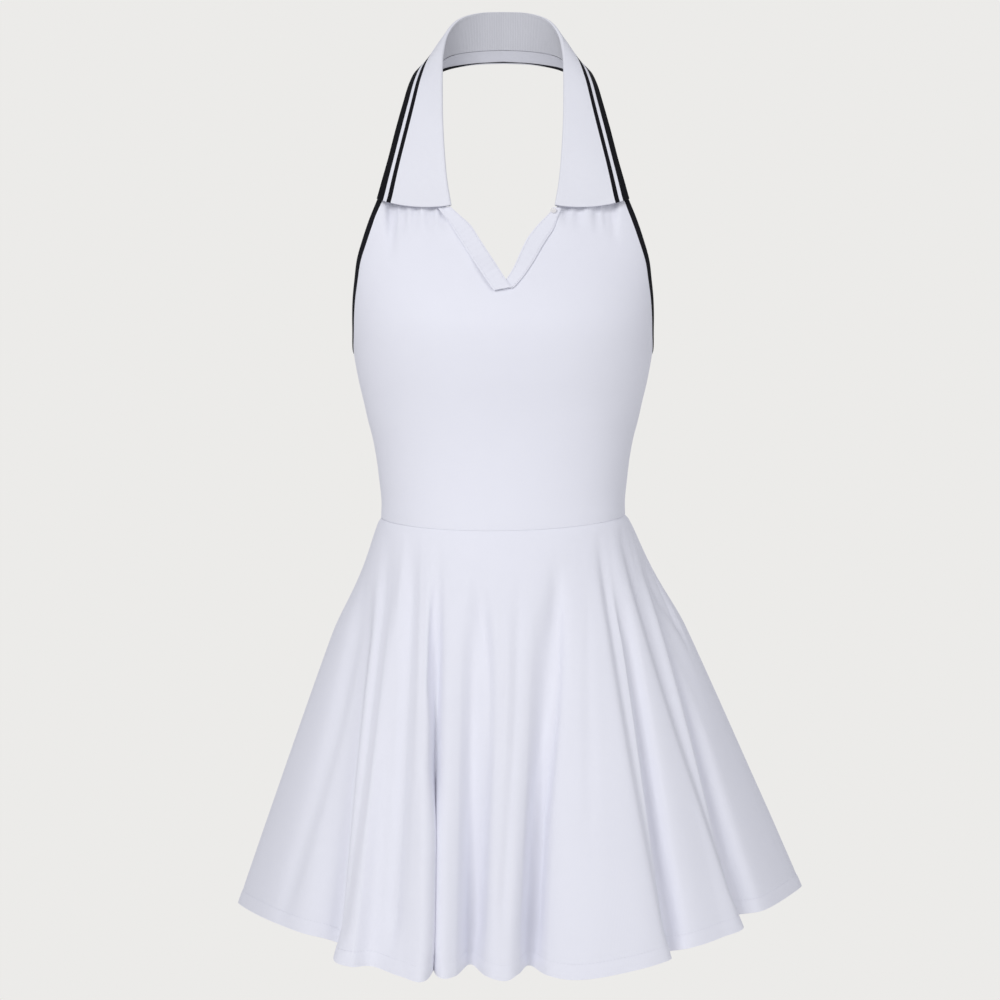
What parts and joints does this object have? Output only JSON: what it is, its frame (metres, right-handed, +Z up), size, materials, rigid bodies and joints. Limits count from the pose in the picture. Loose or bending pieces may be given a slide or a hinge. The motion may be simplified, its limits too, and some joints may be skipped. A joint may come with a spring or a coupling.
{
  "type": "tennis dress",
  "caption": "Sleeveless halter-neck tennis dress with a folded knit collar, V placket, dark-bound armholes, low back and flared skirt, filled out and hollow.",
  "frame": {"origin": "at the nape, at the foot of the neckband on its inner side at the centre back, where the wearer's neck holds the dress", "axes": "+Z up the body, the front faces -Y, +X to the right of a viewer in front"},
  "size_m": [0.5263, 0.3508, 0.8863],
  "materials": {
    "jersey": "matt fine stretch jersey, cool white",
    "rib_knit": "flat rib knit, cool white, two black stripes knitted in along the outer edge",
    "binding": "matt black folded binding",
    "button": "pearl white, satin gloss"
  },
  "bodies": {
    "root": {"bodice_front": "jersey", "bodice_back": "jersey", "neckband": "jersey", "collar": "rib_knit", "placket_over": "jersey", "placket_under": "jersey", "binding_left": "binding", "binding_right": "binding", "binding_back": "binding", "skirt_front": "jersey", "skirt_back": "jersey", "button": "button"}
  },
  "joints": []
}
